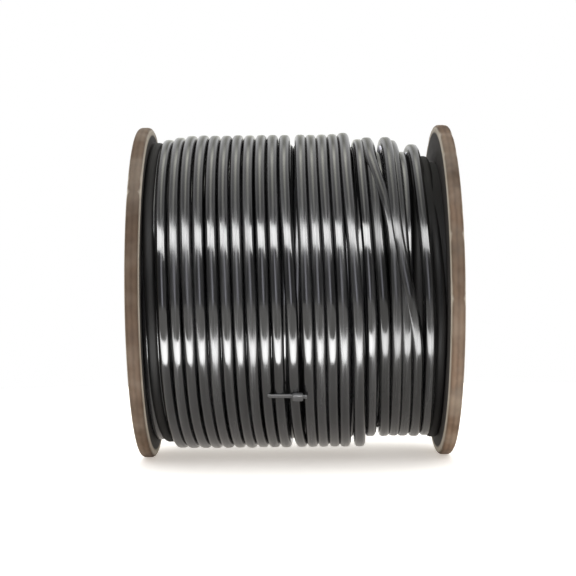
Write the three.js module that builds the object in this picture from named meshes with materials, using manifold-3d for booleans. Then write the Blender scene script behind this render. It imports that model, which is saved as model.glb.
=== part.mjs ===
// A full drum of black multicore cable, lying on its rims: two round plywood flanges glued to
// the ends of a cardboard barrel, the cable wound on the barrel in level layers, and the nylon
// tie that bundles some of the outermost turns. Millimetres, +Z up. The origin is the middle
// of the drum's axis, which lies along X.
import * as THREE from "three";
import { mergeVertices } from "three/addons/utils/BufferGeometryUtils.js";
import Module from "manifold-3d";

// Flanges
const FLANGE_DIAMETER = 200;
const FLANGE_THICKNESS = 8;
const RIM_ROUNDING = 2.6;
const SPINDLE_BORE = 35;
const SEAT_DEPTH = 4; // the groove in each inner face that holds the barrel's end

// Barrel
const TRAVERSE = 170; // between the flanges' inner faces
const BARREL_DIAMETER = 65;
const BARREL_WALL = 4;

// Cable and winding
const CABLE_DIAMETER = 6.5;
const TURN_PITCH = 7.05;
const RIM_HEADROOM = 5; // the least that the flanges stand above the outermost layer
// How far some turns lie from their even places, as [turn, shift]. The shift changes evenly from
// each of these turns to the next, so a jump leaves a wide groove before its turn.
const TURN_SHIFTS = [
  [0, -0.5],
  [11, -2],
  [12, 0.4],
  [16, -2.2],
  [17, -0.4],
  [18, -1.3],
  [19, -0.1],
  [21, -3],
  [23, -3.7],
];
// How far each turn next to a flange lies below the crest of the outermost layer. That layer
// sinks by about a layer well short of the right flange, where the one below it is missing, and
// the last turns leave a gap beside the flange.
const DROPS_AT_LEFT = [4, 1.5, 0.6];
const DROPS_AT_RIGHT = [4.5, 4.5, 4.5, 4.6, 5.3, 6.4, 9.2];
const DROP_IN_GAP = 16;
const CREST_FLAT = 0.45; // half width of a turn's flat crest, as a share of the cable's radius
const GROOVE_DEPTH = 0.95; // depth of the groove between two turns, as a share of the same

// Tie
const TIE_STRAP_WIDTH = 2.5;
const TIE_STRAP_THICKNESS = 1.1;
const TIE_HEAD_LENGTH = 6;
const TIE_HEAD_WIDTH = 4.6;
const TIE_HEAD_HEIGHT = 3.4;
const TIE_BUNDLE_TURNS = 3; // how many turns the tie crosses
const TIE_RIGHT_OF_MIDDLE = 3.9; // from the drum's middle to the head's outer end
const TIE_ANGLE = -38; // degrees up from the drum's front, so it sits low on the front

// Clearances
const GLUE_GAP = 0.3; // between the barrel and its seats
const LAY_GAP = 0.3; // between the winding and what it lies against, and under the tie

// Roundness
const FLANGE_SIDES = 72;
const WINDING_SIDES = 48;
const ROUNDING_STEPS = 3;

const flangeRadius = FLANGE_DIAMETER / 2;
const barrelRadius = BARREL_DIAMETER / 2;
const cableRadius = CABLE_DIAMETER / 2;

// Each layer beds into the valleys of the one below it.
const layerStep = Math.sqrt(CABLE_DIAMETER ** 2 - (TURN_PITCH / 2) ** 2);
const firstCrest = barrelRadius + LAY_GAP + CABLE_DIAMETER;
const layersOverFirst = Math.floor((flangeRadius - RIM_HEADROOM - firstCrest) / layerStep);
const topCrest = firstCrest + layersOverFirst * layerStep;
const turnCount = Math.floor((TRAVERSE - 2 * LAY_GAP) / TURN_PITCH);

const plywood = new THREE.MeshStandardMaterial({ color: 0x8a7362, roughness: 0.85 });
const cardboard = new THREE.MeshStandardMaterial({ color: 0x9a8164, roughness: 0.95 });
const jacket = new THREE.MeshStandardMaterial({ color: 0x17181a, roughness: 0.32 });
const nylon = new THREE.MeshStandardMaterial({ color: 0x1c1c1e, roughness: 0.4 });

// A ring turned about X. Its outline is a list of [position along X, radius], closed on itself.
// The first side is turned by half a step, so that the ring lies on a side and not on a corner.
function turnedRing(outline, sides) {
  const profile = [...outline, outline[0]].map(([along, radius]) => new THREE.Vector2(radius, along));
  const ring = new THREE.LatheGeometry(profile, sides, Math.PI / sides);
  return ring.rotateZ(-Math.PI / 2);
}

// The points of a quarter round about a centre, from one angle to another.
function roundedCorner(along, radius, rounding, fromAngle, toAngle) {
  return Array.from({ length: ROUNDING_STEPS + 1 }, (_, step) => {
    const angle = fromAngle + ((toAngle - fromAngle) * step) / ROUNDING_STEPS;
    return [along + rounding * Math.cos(angle), radius + rounding * Math.sin(angle)];
  });
}

// A flange with its inner face at X = 0 and its outer face at X = FLANGE_THICKNESS.
function flangeGeometry() {
  const bore = SPINDLE_BORE / 2;
  const seatInner = barrelRadius - BARREL_WALL - GLUE_GAP;
  const seatOuter = barrelRadius + GLUE_GAP;
  const rimCentre = flangeRadius - RIM_ROUNDING;
  return turnedRing(
    [
      [0, bore],
      [0, seatInner],
      [SEAT_DEPTH, seatInner],
      [SEAT_DEPTH, seatOuter],
      [0, seatOuter],
      ...roundedCorner(RIM_ROUNDING, rimCentre, RIM_ROUNDING, Math.PI, Math.PI / 2),
      ...roundedCorner(FLANGE_THICKNESS - RIM_ROUNDING, rimCentre, RIM_ROUNDING, Math.PI / 2, 0),
      [FLANGE_THICKNESS, bore],
    ],
    FLANGE_SIDES,
  );
}

// Both flanges are the same piece, the left one turned end for end.
function makeFlanges() {
  const geometry = flangeGeometry();
  const right = new THREE.Mesh(geometry, plywood);
  right.name = "flange_right";
  right.position.x = TRAVERSE / 2;
  const left = new THREE.Mesh(geometry, plywood);
  left.name = "flange_left";
  left.position.x = -TRAVERSE / 2;
  left.rotation.z = Math.PI;
  return [left, right];
}

// The barrel reaches into the seats of both flanges.
function makeBarrel() {
  const end = TRAVERSE / 2 + SEAT_DEPTH - GLUE_GAP;
  const inner = barrelRadius - BARREL_WALL;
  const geometry = turnedRing(
    [
      [-end, inner],
      [-end, barrelRadius],
      [end, barrelRadius],
      [end, inner],
    ],
    WINDING_SIDES,
  );
  const barrel = new THREE.Mesh(geometry, cardboard);
  barrel.name = "barrel";
  return barrel;
}

// How far a turn lies from its even place.
function turnShift(turn) {
  const next = TURN_SHIFTS.findIndex(([known]) => known >= turn);
  if (next < 1) return TURN_SHIFTS.at(next)[1];
  const [before, shiftBefore] = TURN_SHIFTS[next - 1];
  const [after, shiftAfter] = TURN_SHIFTS[next];
  return shiftBefore + ((shiftAfter - shiftBefore) * (turn - before)) / (after - before);
}

// The middle of a turn along X, with the turns counted from the left flange.
function turnMiddle(turn) {
  return (turn + 0.5 - turnCount / 2) * TURN_PITCH + turnShift(turn);
}

// The radius of a turn's crest.
function crestRadius(turn) {
  const fromRight = turn - (turnCount - DROPS_AT_RIGHT.length);
  return topCrest - (DROPS_AT_LEFT[turn] ?? DROPS_AT_RIGHT[fromRight] ?? 0);
}

// The groove between a turn and the next one, as [position along X, radius]. The wider apart the
// two are, the deeper it is.
function grooveAfter(turn) {
  const [left, right] = [turnMiddle(turn), turnMiddle(turn + 1)];
  const depth = GROOVE_DEPTH * cableRadius + right - left - TURN_PITCH;
  return [(left + right) / 2, Math.min(crestRadius(turn), crestRadius(turn + 1)) - depth];
}

// All the layers are one solid, with each turn of the outermost ones as a crest on its outside.
function makeWinding() {
  const boreRadius = barrelRadius + LAY_GAP;
  const end = TRAVERSE / 2 - LAY_GAP;
  const gapRadius = topCrest - DROP_IN_GAP;
  const flat = CREST_FLAT * cableRadius;
  const outline = [
    [-end, boreRadius],
    [-end, crestRadius(0) - cableRadius],
  ];
  for (let turn = 0; turn < turnCount; turn++) {
    const middle = turnMiddle(turn);
    outline.push([middle - flat, crestRadius(turn)], [middle + flat, crestRadius(turn)]);
    if (turn < turnCount - 1) outline.push(grooveAfter(turn));
  }
  outline.push(
    [turnMiddle(turnCount - 1) + cableRadius, gapRadius],
    [end, gapRadius],
    [end, boreRadius],
  );
  const winding = new THREE.Mesh(turnedRing(outline, WINDING_SIDES), jacket);
  winding.name = "cable_winding";
  return winding;
}

const wasm = await Module();
wasm.setup();

function solidFrom(geometry) {
  const bare = geometry.clone().deleteAttribute("normal").deleteAttribute("uv");
  const merged = mergeVertices(bare);
  return new wasm.Manifold(
    new wasm.Mesh({
      numProp: 3,
      vertProperties: merged.attributes.position.array,
      triVerts: new Uint32Array(merged.index.array),
    }),
  );
}

function geometryFrom(solid) {
  const mesh = solid.getMesh();
  const geometry = new THREE.BufferGeometry();
  geometry.setAttribute("position", new THREE.BufferAttribute(mesh.vertProperties, 3));
  geometry.setIndex(new THREE.BufferAttribute(mesh.triVerts, 1));
  return geometry;
}

// The tie as it shows: its strap lies across the crests of some turns and runs into its head.
function makeTie() {
  const seat = topCrest + LAY_GAP;
  const strapLength = TIE_BUNDLE_TURNS * TURN_PITCH;
  const strap = new THREE.BoxGeometry(strapLength, TIE_STRAP_WIDTH, TIE_STRAP_THICKNESS);
  strap.translate(TIE_RIGHT_OF_MIDDLE - strapLength / 2, 0, seat + TIE_STRAP_THICKNESS / 2);
  const head = new THREE.BoxGeometry(TIE_HEAD_LENGTH, TIE_HEAD_WIDTH, TIE_HEAD_HEIGHT);
  head.translate(TIE_RIGHT_OF_MIDDLE - TIE_HEAD_LENGTH / 2, 0, seat + TIE_HEAD_HEIGHT / 2);
  const tie = new THREE.Mesh(geometryFrom(solidFrom(strap).add(solidFrom(head))), nylon);
  tie.name = "cable_tie";
  tie.rotation.x = THREE.MathUtils.degToRad(90 - TIE_ANGLE);
  return tie;
}

const drum = new THREE.Group();
drum.add(...makeFlanges(), makeBarrel(), makeWinding(), makeTie());

export default drum;
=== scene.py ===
import math

import bmesh
import bpy
import numpy as np
from mathutils import Matrix, Vector


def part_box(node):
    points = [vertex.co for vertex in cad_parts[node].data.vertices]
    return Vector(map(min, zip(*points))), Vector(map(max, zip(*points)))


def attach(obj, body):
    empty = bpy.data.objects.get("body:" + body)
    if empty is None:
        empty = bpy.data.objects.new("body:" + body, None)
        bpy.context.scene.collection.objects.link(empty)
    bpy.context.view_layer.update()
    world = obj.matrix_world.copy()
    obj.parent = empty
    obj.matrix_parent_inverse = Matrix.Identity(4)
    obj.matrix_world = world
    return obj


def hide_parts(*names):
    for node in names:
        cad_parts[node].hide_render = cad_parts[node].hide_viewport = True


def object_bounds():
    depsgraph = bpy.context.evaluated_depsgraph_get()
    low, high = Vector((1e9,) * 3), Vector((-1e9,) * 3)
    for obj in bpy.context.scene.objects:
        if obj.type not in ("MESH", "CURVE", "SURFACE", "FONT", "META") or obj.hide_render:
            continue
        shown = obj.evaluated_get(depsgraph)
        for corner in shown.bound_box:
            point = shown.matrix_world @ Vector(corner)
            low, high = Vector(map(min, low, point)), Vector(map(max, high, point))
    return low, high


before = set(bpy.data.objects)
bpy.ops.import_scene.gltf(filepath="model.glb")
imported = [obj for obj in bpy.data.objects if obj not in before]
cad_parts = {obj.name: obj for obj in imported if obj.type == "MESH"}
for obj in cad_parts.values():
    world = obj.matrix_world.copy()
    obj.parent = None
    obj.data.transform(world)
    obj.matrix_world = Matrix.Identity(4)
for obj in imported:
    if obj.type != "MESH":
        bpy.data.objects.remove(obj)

cad_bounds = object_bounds()

# All angles are in degrees.
MM = 0.001
SEED = 11
SHARPEST_SMOOTH_EDGE = 50

# The photograph: the drum's middle is at this pixel, and a right-hand side that is higher than
# the left one shows the camera's roll.
IMAGE_SIZE = 576
DRUM_MIDDLE_X = 295
DRUM_MIDDLE_Y = 291
CAMERA_DISTANCE = 0.9
FOCAL_PIXELS = 1475
SENSOR_WIDTH = 36  # millimetres, as Blender counts it
CAMERA_ROLL = 0.6
FLOOR_RADIUS = 0.7
FLOOR_SIDES = 64
# The floor's own glow stands for the light that a white studio sends back under the drum
FLOOR_GLOW = 0.45

# Two strips of light make the two bands of gleams on the turns' crests. The upper one is an arc
# of straight parts round the upper gleam, and sinks towards its ends.
UPPER_GLEAM = (0, -0.0887, 0.0309)
UPPER_STRIP_REACH = 0.8
UPPER_STRIP_WIDTH = 0.25
UPPER_STRIP_PARTS = 7
UPPER_STRIP_STEP = 18
UPPER_STRIP_ELEVATION = 39.6
UPPER_STRIP_SINK = 11.5
UPPER_STRIP_SINK_BEARING = 68.7
UPPER_STRIP_RADIANCE = 18
LOWER_GLEAM = (0, -0.0881, -0.0325)
LOWER_STRIP_REACH = 0.078
LOWER_STRIP_ELEVATION = -43.9
LOWER_STRIP_SIZE = (0.9, 0.037)
LOWER_STRIP_SPREAD = 130
LOWER_STRIP_RADIANCE = 11

# The studio's tones from the level front (0) over the drum to the level back (1), straight ahead
# and towards the sides, as (place, brightness, warmth). The reach says how far to the side the
# middle tones fade into the others.
BRIGHTEST_TONE = 5
MIDDLE_TONES = [
    (0.0, 4.6, -0.12),
    (0.3, 2.8, 0),
    (0.44, 3.8, 0.1),
    (0.62, 4.8, 0.1),
    (0.7, 1.8, 0.1),
    (0.75, 0.6, 0.1),
    (0.85, 0.6, 0.1),
    (1.0, 1.1, 0.1),
]
MIDDLE_REACH = (0.02, 0.18)
SIDE_TONES = [
    (0.0, 0.35, 0),
    (0.3, 0.4, 0),
    (0.45, 1.1, 0),
    (0.62, 1.6, 0),
    (1.0, 1.0, 0),
]

# Cable
CABLE_DIAMETER = 6.5 * MM
FLANGE_PLAY = 0.15 * MM
TURNS = 24
SAMPLES_PER_TURN = 96
CABLE_SIDES = 18
# Under its winding tension the round jacket is a little squared: 2 would be a circle
SQUARENESS = 3.3
FLATTENING = 1.055
# How far the outermost layer stands over the smooth crests of the frame's winding
LAYER_RAISE = 0.9 * MM
# How far some turns lie from their even places, as (turn, shift). The shift changes evenly from
# each of these turns to the next.
TURN_SHIFTS = [
    (0, -0.5 * MM),
    (11, -2 * MM),
    (12, 0.4 * MM),
    (16, -2.2 * MM),
    (17, -0.4 * MM),
    (18, -1.3 * MM),
    (19, -0.1 * MM),
    (21, -3 * MM),
    (23, -3.7 * MM),
    (24, -4 * MM),
]
# How far the first and last turns lie below the full layer, over the drum and under it
LEFT_DROPS = [(3.9 * MM, 4.1 * MM), (2.4 * MM, 0.3 * MM), (1.0 * MM, 0)]
RIGHT_DROPS = [
    (3.0 * MM, 6.2 * MM),
    (3.2 * MM, 6.2 * MM),
    (2.8 * MM, 6.2 * MM),
    (3.9 * MM, 6.2 * MM),
    (4.2 * MM, 6.0 * MM),
    (6.4 * MM, 6.4 * MM),
    (13.5 * MM, 5.6 * MM),
]
FIRST_SUNK_TURN = TURNS - len(RIGHT_DROPS)
WOBBLE = 0.1 * MM
# The turns deep beside the flanges get a darker, duller copy of the jacket as painted shade, and the
# sunk ones are a little scuffed. Each finish changes at the bottom of a turn, counted from the first
# one.
SHADE_DARKENED_TURNS = [(-1, 0.47), (22.55, 24.6)]
SCUFFED_TURNS = [(17.52, 22.55)]
# A turn crosses over to the next place on the drum's front: gently above, faster near the bottom.
# The gentle share of the way grows from left to right.
GENTLE_TURNS = (10, 16)
GENTLE_SHARES = (0.4, 0.62)
GENTLE_STRETCH = (0.1, 0.33)
STEEP_STRETCH = (0.315, 0.53)
# Two turns that have slipped to the left over their neighbours, and the last one, which only
# sinks: where the slip rises and falls, counted in turns, how far it goes and how much it lifts
SLIPS = [
    ((18.55, 18.85), (19.07, 19.2), -9 * MM, 0.9 * MM),
    ((20.6, 20.9), (21.17, 21.33), -9 * MM, 2.2 * MM),
    ((23.0, 23.15), (23.36, 23.48), 0, -5 * MM),
]
# A short knuckle in one turn: where it rises and falls, and its lift
KNUCKLE = ((15.93, 15.97), (16.03, 16.07), 1.0 * MM)
# Turns that the cable takes to climb from the core to the outer layer at the left flange
CLIMB = 0.5
# The place along X where the layer below the outermost one starts
UNDER_FIRST = 71 * MM
# The layers inside lie this far below the valleys of the two layers that show, and this far
# below the full layer's crests in the gap beside the right flange
INNER_CLEARANCE = 0.8 * MM
GAP_DROP = 16.5 * MM
INNER_SIDES = 96

# Flanges
FLANGE_SIDES = 240
RIM_ROUNDING = 2.6 * MM
RIM_STEPS = 5
SEAT_GAP = 0.3 * MM
PLY_THICKNESS = 1.6 * MM
NICKS = 14
NICK_DEPTHS = (0.2, 1)
DEEPEST_NICK = 0.9 * MM
NICK_REACHES = (0.35, 1)
WIDEST_NICK = 4.5
# The rim has no wear near its lowest point, on which the drum lies
UNWORN_BOTTOM = (14, 20)

# Tie
TIE_ANGLE = -38
TIE_CLEARANCE = 0.05 * MM
# The rounding of the tie's corners, as a share of its smaller half size
TIE_CORNERS = 0.3
TIE_CORNER_STEPS = 3
STRAP_HALF_WIDTH = 1.1 * MM
STRAP_THICKNESS = 0.9 * MM
# How the strap's left end dives between two turns, as (along, sink), and how its cut end rises
STRAP_DIVE = [
    (0, 2.8 * MM),
    (0.5 * MM, 1.9 * MM),
    (1.2 * MM, 1.0 * MM),
    (2.2 * MM, 0.3 * MM),
    (3.4 * MM, 0),
]
TAIL_LENGTH = 2.2 * MM
TAIL_RISES = (0.6 * MM, 0.9 * MM)
HEAD_LENGTH = 6 * MM
HEAD_HALF_WIDTH = 2.1 * MM
HEAD_HEIGHT = 2.9 * MM
# The head is smaller towards its ends, as (place along it, share of its size)
HEAD_SHAPE = [(0, 0.72), (0.05, 0.9), (0.14, 1), (0.86, 1), (0.95, 0.9), (1, 0.72)]


def node_radii(node):
    """The smallest and largest distance of a CAD node's points from the drum's axis."""
    points = np.array([v.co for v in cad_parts[node].data.vertices])
    distances = np.hypot(points[:, 1], points[:, 2])
    return distances.min(), distances.max()


left_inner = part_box("flange_left")[1].x
right_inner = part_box("flange_right")[0].x
right_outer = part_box("flange_right")[1].x
flange_bore, flange_radius = node_radii("flange_left")
barrel_bore, barrel_radius = node_radii("barrel")
winding_bore, full_crest = node_radii("cable_winding")
floor_height = cad_bounds[0][2]

cable_radius = CABLE_DIAMETER / 2
pitch = (right_inner - left_inner) / TURNS
first_turn = left_inner + cable_radius + FLANGE_PLAY
last_turn = right_inner - cable_radius - FLANGE_PLAY
layer_step = math.sqrt(CABLE_DIAMETER**2 - (pitch / 2) ** 2)


def smoothstep(value, low, high):
    """0 up to the low value and 1 from the high one on, smooth between them."""
    share = np.clip((value - low) / (high - low), 0, 1)
    return share * share * (3 - 2 * share)


def window(value, rise, fall):
    """1 between the end of the rise and the start of the fall, and 0 outside them."""
    return smoothstep(value, *rise) - smoothstep(value, *fall)


def wobble(turns, seed, size):
    """A slow irregularity that differs from one turn to the next."""
    random = np.random.default_rng(seed)
    total = np.zeros_like(turns)
    for waves_per_turn in (0.83, 1.71, 2.63, 4.37):
        total += np.sin(2 * np.pi * (waves_per_turn * turns + random.random()))
    return size * total / 2


# Building meshes
def add_piece(name, vertices, faces, material):
    """A smooth mesh with its faces turned outwards, riding on the drum."""
    mesh = bpy.data.meshes.new(name)
    mesh.from_pydata([tuple(v) for v in vertices], [], [tuple(f) for f in faces])
    shape = bmesh.new()
    shape.from_mesh(mesh)
    bmesh.ops.recalc_face_normals(shape, faces=shape.faces)
    shape.to_mesh(mesh)
    shape.free()
    mesh.materials.append(material)
    mesh.shade_smooth()
    mesh.set_sharp_from_angle(angle=math.radians(SHARPEST_SMOOTH_EDGE))
    piece = bpy.data.objects.new(name, mesh)
    bpy.context.scene.collection.objects.link(piece)
    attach(piece, "root")
    return piece


def wound_tube(turns, along, radius):
    """A tube of the cable's section, wound from the drum's top by way of its front."""
    angle = 2 * np.pi * turns
    outward = np.stack([np.zeros_like(angle), -np.sin(angle), np.cos(angle)], axis=1)
    centre = outward * radius[:, None]
    centre[:, 0] += along
    around = np.linspace(0, 2 * np.pi, CABLE_SIDES, endpoint=False)
    up, side = np.cos(around), np.sin(around)
    squared = (np.abs(up) ** SQUARENESS + np.abs(side) ** SQUARENESS) ** (-1 / SQUARENESS)
    squared = 1 + (squared - 1) * (up > 0)
    ring = (up * squared)[None, :, None] * outward[:, None, :]
    ring = ring + side[None, :, None] * np.array([FLATTENING, 0.0, 0.0])
    vertices = (centre[:, None, :] + cable_radius * ring).reshape(-1, 3)
    faces = []
    last = len(turns) - 1
    for i in range(last):
        for j in range(CABLE_SIDES):
            k = (j + 1) % CABLE_SIDES
            here, there = i * CABLE_SIDES, (i + 1) * CABLE_SIDES
            faces.append((here + j, there + j, there + k, here + k))
    faces.append(tuple(range(CABLE_SIDES)))
    faces.append(tuple(last * CABLE_SIDES + j for j in reversed(range(CABLE_SIDES))))
    return vertices, faces


def lathed(profile, sides):
    """A closed outline of (along X, radius) points, turned about the drum's axis."""
    vertices = []
    for i in range(sides):
        angle = 2 * math.pi * i / sides
        for along, radius in profile:
            vertices.append((along, -radius * math.sin(angle), radius * math.cos(angle)))
    count = len(profile)
    faces = []
    for i in range(sides):
        for j in range(count):
            here, there = i * count, ((i + 1) % sides) * count
            k = (j + 1) % count
            faces.append((here + j, here + k, there + k, there + j))
    return vertices, faces


# Materials. The scales of the noises are in waves per metre.
def new_material(name):
    material = bpy.data.materials.new(name)
    material.use_nodes = True
    nodes = material.node_tree.nodes
    return material, nodes, material.node_tree.links, nodes["Principled BSDF"]


def noise(nodes, links, vector, scale, detail=4.0, roughness=0.6):
    texture = nodes.new("ShaderNodeTexNoise")
    texture.inputs["Scale"].default_value = scale
    texture.inputs["Detail"].default_value = detail
    texture.inputs["Roughness"].default_value = roughness
    links.new(vector, texture.inputs["Vector"])
    return texture.outputs["Fac"]


def object_coordinates(nodes):
    return nodes.new("ShaderNodeTexCoord").outputs["Object"]


def stretched(nodes, links, vector, scale):
    mapping = nodes.new("ShaderNodeMapping")
    mapping.inputs["Scale"].default_value = scale
    links.new(vector, mapping.inputs["Vector"])
    return mapping.outputs["Vector"]


def ramp(nodes, links, factor, stops):
    """A colour ramp. Each stop is a position and a colour."""
    node = nodes.new("ShaderNodeValToRGB")
    elements = node.color_ramp.elements
    while len(elements) < len(stops):
        elements.new(0.5)
    for element, (position, color) in zip(elements, stops):
        element.position = position
        element.color = (*color, 1)
    links.new(factor, node.inputs["Fac"])
    return node.outputs["Color"]


def math_node(nodes, links, operation, first, second=None):
    node = nodes.new("ShaderNodeMath")
    node.operation = operation
    for socket, value in zip(node.inputs, (first, second)):
        if isinstance(value, (int, float)):
            socket.default_value = value
        elif value is not None:
            links.new(value, socket)
    return node.outputs[0]


def mapped(nodes, links, value, low, high, to_low=0.0, to_high=1.0):
    node = nodes.new("ShaderNodeMapRange")
    for name, number in (
        ("From Min", low),
        ("From Max", high),
        ("To Min", to_low),
        ("To Max", to_high),
    ):
        node.inputs[name].default_value = number
    links.new(value, node.inputs["Value"])
    return node.outputs["Result"]


def mixed(nodes, links, factor, first, second):
    """The mix of two colours. Each of the three inputs is a value or the output of a node."""
    node = nodes.new("ShaderNodeMix")
    node.data_type = "RGBA"
    sockets = [node.inputs[0], node.inputs[6], node.inputs[7]]
    for socket, value in zip(sockets, (factor, first, second)):
        if isinstance(value, tuple):
            socket.default_value = (*value, 1)
        elif isinstance(value, (int, float)):
            socket.default_value = value
        else:
            links.new(value, socket)
    return node.outputs[2]


def bumped(nodes, links, shader, height, strength, distance):
    bump = nodes.new("ShaderNodeBump")
    bump.inputs["Strength"].default_value = strength
    bump.inputs["Distance"].default_value = distance
    links.new(height, bump.inputs["Height"])
    links.new(bump.outputs["Normal"], shader.inputs["Normal"])


def jacket_material(name, dark, light, roughness, gloss):
    """Black cable jacket that differs from turn to turn, with fine streaks along the turns."""
    material, nodes, links, shader = new_material(name)
    place = object_coordinates(nodes)
    turn_by_turn = noise(nodes, links, stretched(nodes, links, place, (150, 14, 14)), 1, detail=3)
    streaks = noise(nodes, links, stretched(nodes, links, place, (700, 9, 9)), 1, detail=2)
    scuffs = noise(nodes, links, place, 900, detail=2)
    blend = mixed(nodes, links, 0.45, turn_by_turn, streaks)
    color = ramp(nodes, links, blend, [(0.4, dark), (0.6, light)])
    links.new(color, shader.inputs["Base Color"])
    rough = mapped(nodes, links, blend, 0.4, 0.62, *roughness)
    links.new(rough, shader.inputs["Roughness"])
    shader.inputs["IOR"].default_value = 1.52
    shader.inputs["Specular IOR Level"].default_value = gloss
    bumped(nodes, links, shader, scuffs, 0.12, 0.05 * MM)
    return material


def plywood_material(name, stain):
    """Plywood whose rim is at least as stained as said, from 0 to 1."""
    material, nodes, links, shader = new_material(name)
    place = object_coordinates(nodes)
    separate = nodes.new("ShaderNodeSeparateXYZ")
    links.new(place, separate.inputs[0])
    along, across, up = separate.outputs
    square = math_node(nodes, links, "MULTIPLY", across, across)
    square_up = math_node(nodes, links, "MULTIPLY", up, up)
    radius = math_node(nodes, links, "SQRT", math_node(nodes, links, "ADD", square, square_up))

    grain = noise(nodes, links, stretched(nodes, links, place, (1, 1, 0.08)), 420, detail=6)
    blotches = noise(nodes, links, place, 22, detail=3)
    fibres = noise(nodes, links, stretched(nodes, links, place, (1, 1, 0.03)), 1600, detail=3)
    face = ramp(nodes, links, grain, [(0.32, (0.42, 0.37, 0.30)), (0.68, (0.60, 0.55, 0.47))])
    face = mixed(nodes, links, blotches, face, (0.50, 0.45, 0.37))
    figure = noise(nodes, links, stretched(nodes, links, place, (1, 1, 0.14)), 26, detail=2)
    figure = math_node(nodes, links, "MULTIPLY", figure, 17)
    figure = math_node(nodes, links, "PINGPONG", figure, 1.0)
    figure = mapped(nodes, links, figure, 0.55, 1.0, 0.0, 0.42)
    face = mixed(nodes, links, figure, face, (0.36, 0.285, 0.2))

    # The plies show at the rim as lighter and darker lines along it.
    off_middle = math_node(nodes, links, "ABSOLUTE", along)
    plies = math_node(nodes, links, "MULTIPLY", off_middle, 1 / PLY_THICKNESS)
    ripple = noise(nodes, links, place, 160, detail=3)
    plies = math_node(nodes, links, "ADD", plies, math_node(nodes, links, "MULTIPLY", ripple, 0.9))
    plies = math_node(nodes, links, "PINGPONG", plies, 1.0)
    end_grain = noise(nodes, links, stretched(nodes, links, place, (2.5, 1, 1)), 500, detail=5)
    rim = ramp(nodes, links, plies, [(0.1, (0.105, 0.064, 0.040)), (0.75, (0.20, 0.132, 0.086))])
    rim = mixed(nodes, links, end_grain, rim, (0.155, 0.10, 0.064))
    stains = noise(nodes, links, place, 34, detail=3)
    stained = mapped(nodes, links, stains, 0.45, 0.7, stain, 0.8)
    rim = mixed(nodes, links, stained, rim, (0.045, 0.027, 0.016))

    # Painted shade: the inner faces are darkened near the cable, for the shade in the narrow gap
    # between them.
    inside = mapped(nodes, links, off_middle, right_inner + 1.5 * MM, right_inner + 0.5 * MM)
    near_cable = mapped(nodes, links, radius, full_crest + 2.2 * MM, full_crest + 0.8 * MM)
    gap_shade = math_node(nodes, links, "MULTIPLY", inside, near_cable)
    face = mixed(nodes, links, gap_shade, face, (0.045, 0.04, 0.036))

    at_rim = mapped(nodes, links, radius, flange_radius - 2.2 * MM, flange_radius - 0.9 * MM)
    worn = mapped(nodes, links, blotches, 0.45, 0.8, 0.0, 0.35)
    at_rim = math_node(nodes, links, "SUBTRACT", at_rim, worn)
    at_rim = math_node(nodes, links, "MAXIMUM", at_rim, 0.0)
    color = mixed(nodes, links, at_rim, face, rim)
    links.new(color, shader.inputs["Base Color"])
    shader.inputs["Roughness"].default_value = 0.78
    shader.inputs["Specular IOR Level"].default_value = 0.12
    height = math_node(nodes, links, "ADD", grain, math_node(nodes, links, "MULTIPLY", fibres, 0.5))
    bumped(nodes, links, shader, height, 0.35, 0.25 * MM)
    return material


def cardboard_material():
    material, nodes, links, shader = new_material("barrel_cardboard")
    place = object_coordinates(nodes)
    fibres = noise(nodes, links, stretched(nodes, links, place, (0.3, 1, 1)), 900, detail=5)
    color = ramp(nodes, links, fibres, [(0.3, (0.26, 0.19, 0.125)), (0.7, (0.36, 0.275, 0.19))])
    links.new(color, shader.inputs["Base Color"])
    shader.inputs["Roughness"].default_value = 0.9
    bumped(nodes, links, shader, fibres, 0.3, 0.2 * MM)
    return material


def nylon_material():
    material, nodes, links, shader = new_material("black_nylon")
    place = object_coordinates(nodes)
    grain = noise(nodes, links, place, 1500, detail=2)
    color = ramp(nodes, links, grain, [(0.3, (0.045, 0.045, 0.047)), (0.7, (0.06, 0.06, 0.062))])
    links.new(color, shader.inputs["Base Color"])
    shader.inputs["Roughness"].default_value = 0.42
    bumped(nodes, links, shader, grain, 0.15, 0.05 * MM)
    return material


def floor_material():
    material, nodes, links, shader = new_material("pale_floor")
    tone = noise(nodes, links, object_coordinates(nodes), 3, detail=2)
    color = ramp(nodes, links, tone, [(0.3, (0.91, 0.91, 0.90)), (0.7, (0.95, 0.95, 0.94))])
    links.new(color, shader.inputs["Base Color"])
    shader.inputs["Roughness"].default_value = 0.8
    shader.inputs["Emission Color"].default_value = (1, 0.93, 0.85, 1)
    shader.inputs["Emission Strength"].default_value = FLOOR_GLOW
    return material


# The cable
def turn_place(turns):
    """The place along X of each whole turn."""
    known, shifts = zip(*TURN_SHIFTS)
    return (turns + 0.5 - TURNS / 2) * pitch + np.interp(turns, known, shifts)


def crossing(turns):
    """How much of the way to the next place a turn has gone."""
    way = turns - np.floor(turns)
    gentle = np.interp(turns, GENTLE_TURNS, GENTLE_SHARES)
    return gentle * smoothstep(way, *GENTLE_STRETCH) + (1 - gentle) * smoothstep(way, *STEEP_STRETCH)


def outer_drops(turns):
    """How far the outermost turns lie below the full layer, set at each turn's top and bottom."""
    plain = [(0, 0)] * (TURNS - len(LEFT_DROPS) - len(RIGHT_DROPS))
    drops = np.array([drop for pair in LEFT_DROPS + plain + RIGHT_DROPS for drop in pair])
    halves = np.clip(2 * turns, 0, len(drops) - 1.001)
    index = halves.astype(int)
    share = smoothstep(halves - index, 0, 1)
    return drops[index] * (1 - share) + drops[index + 1] * share


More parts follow.
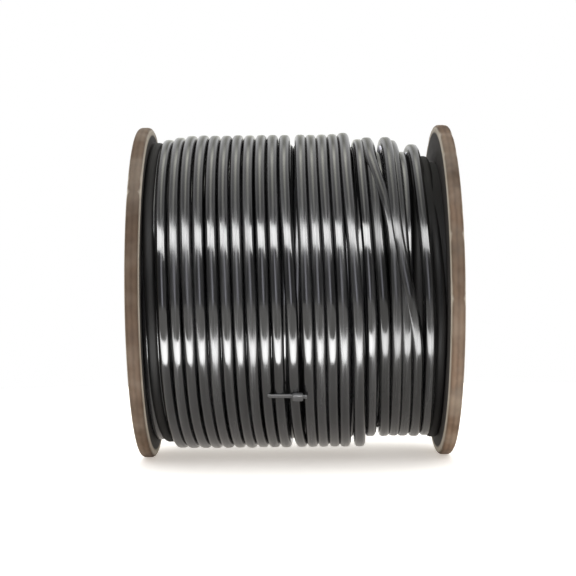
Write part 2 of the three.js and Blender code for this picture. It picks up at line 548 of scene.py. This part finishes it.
def cable_route():
    """The two outermost layers as one cable: rightwards in the outer one, then back below it."""
    core_drop = 2 * layer_step + cable_radius
    turns = np.arange(-CLIMB, 2 * TURNS - 1, 1 / SAMPLES_PER_TURN)
    below = turns - TURNS

    start = turn_place(np.floor(turns))
    rightwards = start + crossing(turns) * (turn_place(np.floor(turns) + 1) - start)
    under_end = first_turn + pitch / 2
    under_pitch = (UNDER_FIRST - under_end) / (TURNS - 2)
    leftwards = UNDER_FIRST - under_pitch * (np.floor(below) + crossing(below))
    along = np.where(below < 0, rightwards, leftwards)
    turning = smoothstep(turns, TURNS - 0.5, TURNS)
    along = np.where(below < 0, along + turning * (UNDER_FIRST - along), along)

    step_place = turn_place(FIRST_SUNK_TURN) - pitch / 2
    beyond_step = smoothstep(leftwards, step_place, step_place + pitch)
    under_drop = layer_step * (1 + beyond_step)
    outer_drop = outer_drops(turns)
    outer_drop += (1 - smoothstep(turns, -CLIMB, 0)) * (core_drop - LEFT_DROPS[0][0])
    outer_drop += turning * (2 * layer_step - RIGHT_DROPS[-1][1])
    drop = np.where(below < 0, outer_drop, under_drop)

    for rise, fall, shift, lift in SLIPS:
        slipped = window(turns, rise, fall)
        along += shift * slipped
        drop -= lift * slipped
    rise, fall, lift = KNUCKLE
    drop -= lift * window(turns, rise, fall)

    along += wobble(turns, SEED, WOBBLE)
    drop += wobble(turns, SEED + 1, WOBBLE)
    along = np.clip(along, first_turn, last_turn)
    return turns, along, full_crest + LAYER_RAISE - cable_radius - drop


def finish_of(turn):
    """The index of a turn's finish: 0 clean, 1 darkened as painted shade, 2 scuffed."""
    for index, stretches in enumerate((SHADE_DARKENED_TURNS, SCUFFED_TURNS), start=1):
        if any(first < turn < last for first, last in stretches):
            return index
    return 0


def make_cable(jacket, shade_dark_jacket, scuffed_jacket):
    turns, along, radius = cable_route()
    vertices, faces = wound_tube(turns, along, radius)
    cable = add_piece("cable_turns", vertices, faces, jacket)
    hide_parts("cable_winding")
    cable.data.materials.append(shade_dark_jacket)
    cable.data.materials.append(scuffed_jacket)
    for face in cable.data.polygons:
        face.material_index = finish_of(turns[min(face.vertices) // CABLE_SIDES])


def make_inner_layers(shade_dark_jacket):
    """The layers under the two that show, as one body just below the valleys of those two."""
    under_full = full_crest - layer_step - cable_radius - INNER_CLEARANCE
    under_sunk = under_full - layer_step
    in_gap = full_crest - GAP_DROP
    left, right = first_turn - cable_radius, last_turn + cable_radius
    step_place = turn_place(FIRST_SUNK_TURN) - pitch / 2
    gap_place = turn_place(TURNS - 1) + cable_radius
    profile = [
        (left, winding_bore),
        (left, under_full),
        (step_place - pitch, under_full),
        (step_place, under_sunk),
        (gap_place - pitch, under_sunk),
        (gap_place, in_gap),
        (right, in_gap),
        (right, winding_bore),
    ]
    vertices, faces = lathed(profile, INNER_SIDES)
    add_piece("cable_inner_layers", vertices, faces, shade_dark_jacket)


# The flanges
def rounded_corner(along, radius, start):
    """A quarter round of the rim, from one angle in degrees to the one 90 below it."""
    angles = [math.radians(start - 90 * step / RIM_STEPS) for step in range(RIM_STEPS + 1)]
    return [(along + RIM_ROUNDING * math.cos(a), radius + RIM_ROUNDING * math.sin(a)) for a in angles]


def rim_wear(angle, seed):
    """How deep the rim is worn at an angle in degrees from its top: a few shallow nicks."""
    random = np.random.default_rng(seed)
    depth = 0
    for _ in range(NICKS):
        middle = random.uniform(0, 360)
        reach = random.uniform(*NICK_REACHES) * WIDEST_NICK
        deepest = random.uniform(*NICK_DEPTHS) * DEEPEST_NICK
        distance = abs((angle - middle + 180) % 360 - 180)
        depth = max(depth, deepest * (1 - smoothstep(distance, 0, reach)))
    return depth * smoothstep(abs(angle - 180), *UNWORN_BOTTOM)


def make_flange(side, plywood):
    """A flange from its node's sizes, with a finely rounded and slightly worn rim."""
    node = "flange_right" if side > 0 else "flange_left"
    # The frame's rim lies on one of its flat sides, and this round one touches the same floor.
    rim = -floor_height
    inner, outer = right_inner, right_outer
    seat_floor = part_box("barrel")[1].x + SEAT_GAP
    profile = [
        (inner, flange_bore),
        (inner, barrel_bore - SEAT_GAP),
        (seat_floor, barrel_bore - SEAT_GAP),
        (seat_floor, barrel_radius + SEAT_GAP),
        (inner, barrel_radius + SEAT_GAP),
        *rounded_corner(inner + RIM_ROUNDING, rim - RIM_ROUNDING, 180),
        *rounded_corner(outer - RIM_ROUNDING, rim - RIM_ROUNDING, 90),
        (outer, flange_bore),
    ]
    vertices, faces = lathed([(side * along, radius) for along, radius in profile], FLANGE_SIDES)
    worn = []
    for index, (along, across, up) in enumerate(vertices):
        radius = math.hypot(across, up)
        angle = 360 * (index // len(profile)) / FLANGE_SIDES
        near_rim = smoothstep(radius, rim - 2 * RIM_ROUNDING, rim - RIM_ROUNDING)
        share = 1 - rim_wear(angle, SEED + side) * near_rim / radius
        worn.append((along, across * share, up * share))
    flange = add_piece(f"{node}_board", worn, faces, plywood)
    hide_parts(node)


# The tie
def rounded_rectangle(half_width, half_height):
    """An outline about its middle, as (across, outward) points from corner to corner."""
    rounding = TIE_CORNERS * min(half_width, half_height)
    points = []
    for corner, (right, up) in enumerate(((1, 1), (-1, 1), (-1, -1), (1, -1))):
        for step in range(TIE_CORNER_STEPS):
            angle = math.radians(90 * (corner + step / TIE_CORNER_STEPS))
            wide = right * (half_width - rounding) + rounding * math.cos(angle)
            high = up * (half_height - rounding) + rounding * math.sin(angle)
            points.append((wide, high))
    return points


def swept(stations):
    """A closed body along X with rounded corners, from (along, half width, bottom, top)."""
    outward = Vector((0, -math.cos(math.radians(TIE_ANGLE)), math.sin(math.radians(TIE_ANGLE))))
    across = Vector((1, 0, 0)).cross(outward)
    vertices = []
    for along, half_width, bottom, top in stations:
        for wide, high in rounded_rectangle(half_width, (top - bottom) / 2):
            place = outward * ((bottom + top) / 2 + high) + across * wide
            vertices.append((along, place.y, place.z))
    count = 4 * TIE_CORNER_STEPS
    last = (len(stations) - 1) * count
    faces = [tuple(range(count)), tuple(last + j for j in range(count))]
    for here in range(0, last, count):
        for j in range(count):
            k = (j + 1) % count
            faces.append((here + j, here + k, here + count + k, here + count + j))
    return vertices, faces


def make_tie(nylon):
    """The strap lies across the crests and dives between two turns. Its cut end leaves the head."""
    lowest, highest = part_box("cable_tie")
    crest = full_crest + LAYER_RAISE + TIE_CLEARANCE
    head_start = highest.x - HEAD_LENGTH
    strap_route = [(lowest.x + along, crest - sink) for along, sink in STRAP_DIVE]
    strap_route += [
        (head_start, crest),
        (highest.x, crest + TAIL_RISES[0]),
        (highest.x + TAIL_LENGTH, crest + TAIL_RISES[1]),
    ]
    strap = []
    for along, bottom in strap_route:
        strap.append((along, STRAP_HALF_WIDTH, bottom, bottom + STRAP_THICKNESS))
    head = []
    for share, size in HEAD_SHAPE:
        middle = crest + HEAD_HEIGHT / 2
        half_height = size * HEAD_HEIGHT / 2
        along = head_start + share * HEAD_LENGTH
        head.append((along, size * HEAD_HALF_WIDTH, middle - half_height, middle + half_height))
    vertices, faces = swept(strap)
    head_vertices, head_faces = swept(head)
    start = len(vertices)
    faces += [tuple(start + corner for corner in face) for face in head_faces]
    tie = add_piece("cable_tie_strap_and_head", vertices + head_vertices, faces, nylon)
    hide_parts("cable_tie")


# Lights and camera
def add_strip(name, place, target, along, size, power, spread=180):
    """A soft light for gloss alone. It faces the target, with its length in the given direction."""
    light = bpy.data.lights.new(name, "AREA")
    light.shape = "RECTANGLE"
    light.size, light.size_y = size
    light.energy = power
    light.spread = math.radians(spread)
    lamp = bpy.data.objects.new(name, light)
    behind = (Vector(place) - Vector(target)).normalized()
    upwards = behind.cross(Vector(along)).normalized()
    axes = (upwards.cross(behind), upwards, behind)
    lamp.matrix_world = Matrix.Translation(place) @ Matrix(axes).transposed().to_4x4()
    lamp.visible_camera = False
    lamp.visible_diffuse = False
    bpy.context.scene.collection.objects.link(lamp)


def upper_strip_point(bearing):
    """A point of the upper strip, whose ends sink so that the gleams on all turns end level."""
    sink = UPPER_STRIP_SINK * (bearing / math.radians(UPPER_STRIP_SINK_BEARING)) ** 2
    elevation = math.radians(UPPER_STRIP_ELEVATION - sink)
    direction = Vector(
        (
            math.sin(bearing) * math.cos(elevation),
            -math.cos(bearing) * math.cos(elevation),
            math.sin(elevation),
        )
    )
    return Vector(UPPER_GLEAM) + UPPER_STRIP_REACH * direction


def make_lights():
    step = math.radians(UPPER_STRIP_STEP)
    for part in range(UPPER_STRIP_PARTS):
        from_middle = part - UPPER_STRIP_PARTS // 2
        ends = [upper_strip_point((from_middle + half) * step) for half in (-0.5, 0.5)]
        along = ends[1] - ends[0]
        size = (along.length, UPPER_STRIP_WIDTH)
        power = UPPER_STRIP_RADIANCE * math.pi * size[0] * size[1]
        place = upper_strip_point(from_middle * step)
        add_strip(f"upper_strip_{part + 1}", place, UPPER_GLEAM, along, size, power)
    elevation = math.radians(LOWER_STRIP_ELEVATION)
    place = Vector(LOWER_GLEAM)
    place += LOWER_STRIP_REACH * Vector((0, -math.cos(elevation), math.sin(elevation)))
    size = LOWER_STRIP_SIZE
    power = LOWER_STRIP_RADIANCE * math.pi * size[0] * size[1]
    add_strip("lower_strip", place, LOWER_GLEAM, (1, 0, 0), size, power, LOWER_STRIP_SPREAD)


def tinted(tone):
    """The share of the brightest tone, with a warmth that lowers blue, or raises it below zero."""
    level, warmth = tone
    level = level / BRIGHTEST_TONE
    return (level, level, level * (1 - warmth))


def make_world():
    """The studio lights the drum, and the camera sees white behind it."""
    world = bpy.data.worlds.new("studio")
    world.use_nodes = True
    bpy.context.scene.world = world
    nodes, links = world.node_tree.nodes, world.node_tree.links
    studio = nodes["Background"]
    direction = nodes.new("ShaderNodeTexCoord").outputs["Generated"]
    separate = nodes.new("ShaderNodeSeparateXYZ")
    links.new(direction, separate.inputs[0])
    towards_front = math_node(nodes, links, "MULTIPLY", separate.outputs[1], -1)
    angle = math_node(nodes, links, "ARCTAN2", separate.outputs[2], towards_front)
    share = mapped(nodes, links, angle, 0, math.pi)
    middle = ramp(nodes, links, share, [(place, tinted(tone)) for place, *tone in MIDDLE_TONES])
    sides = ramp(nodes, links, share, [(place, tinted(tone)) for place, *tone in SIDE_TONES])
    sideways = math_node(nodes, links, "ABSOLUTE", separate.outputs[0])
    to_side = mapped(nodes, links, sideways, *MIDDLE_REACH)
    links.new(mixed(nodes, links, to_side, middle, sides), studio.inputs["Color"])
    studio.inputs["Strength"].default_value = BRIGHTEST_TONE
    backdrop = nodes.new("ShaderNodeBackground")
    backdrop.inputs["Color"].default_value = (1, 1, 1, 1)
    choose = nodes.new("ShaderNodeMixShader")
    links.new(nodes.new("ShaderNodeLightPath").outputs["Is Camera Ray"], choose.inputs[0])
    links.new(studio.outputs[0], choose.inputs[1])
    links.new(backdrop.outputs[0], choose.inputs[2])
    links.new(choose.outputs[0], nodes["World Output"].inputs["Surface"])


def make_floor():
    angles = [2 * math.pi * i / FLOOR_SIDES for i in range(FLOOR_SIDES)]
    rim = [(FLOOR_RADIUS * math.cos(a), FLOOR_RADIUS * math.sin(a), floor_height) for a in angles]
    mesh = bpy.data.meshes.new("floor")
    mesh.from_pydata(rim, [], [tuple(range(FLOOR_SIDES))])
    mesh.materials.append(floor_material())
    floor = bpy.data.objects.new("floor", mesh)
    bpy.context.scene.collection.objects.link(floor)


def make_camera():
    camera = bpy.data.cameras.new("camera")
    camera.sensor_width = SENSOR_WIDTH
    camera.lens = SENSOR_WIDTH * FOCAL_PIXELS / IMAGE_SIZE
    camera.shift_x = (IMAGE_SIZE / 2 - DRUM_MIDDLE_X) / IMAGE_SIZE
    camera.shift_y = (DRUM_MIDDLE_Y - IMAGE_SIZE / 2) / IMAGE_SIZE
    camera.clip_start = 0.01
    view = bpy.data.objects.new("camera", camera)
    view.location = (0, -CAMERA_DISTANCE, 0)
    view.rotation_euler = (math.pi / 2, math.radians(CAMERA_ROLL), 0)
    bpy.context.scene.collection.objects.link(view)
    bpy.context.scene.camera = view


def dress_barrel():
    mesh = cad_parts["barrel"].data
    mesh.materials.clear()
    mesh.materials.append(cardboard_material())


jacket = jacket_material(
    "black_pvc_jacket",
    dark=(0.003, 0.003, 0.0034),
    light=(0.02, 0.02, 0.021),
    roughness=(0.1, 0.28),
    gloss=0.5,
)
# Painted shade: a darker, duller copy of the jacket for the turns deep beside the flanges and for the
# layers inside, which lie in shade
shade_dark_jacket = jacket_material(
    "shade_darkened_pvc_jacket",
    dark=(0.004, 0.004, 0.004),
    light=(0.012, 0.011, 0.01),
    roughness=(0.5, 0.7),
    gloss=0.1,
)
scuffed_jacket = jacket_material(
    "scuffed_pvc_jacket",
    dark=(0.003, 0.003, 0.003),
    light=(0.02, 0.02, 0.02),
    roughness=(0.14, 0.3),
    gloss=0.38,
)
make_cable(jacket, shade_dark_jacket, scuffed_jacket)
make_inner_layers(shade_dark_jacket)
make_flange(-1, plywood_material("stained_plywood", 0.45))
make_flange(1, plywood_material("plywood", 0.0))
make_tie(nylon_material())
dress_barrel()
make_floor()
make_lights()
make_world()
make_camera()
bpy.context.scene.view_settings.view_transform = "Standard"
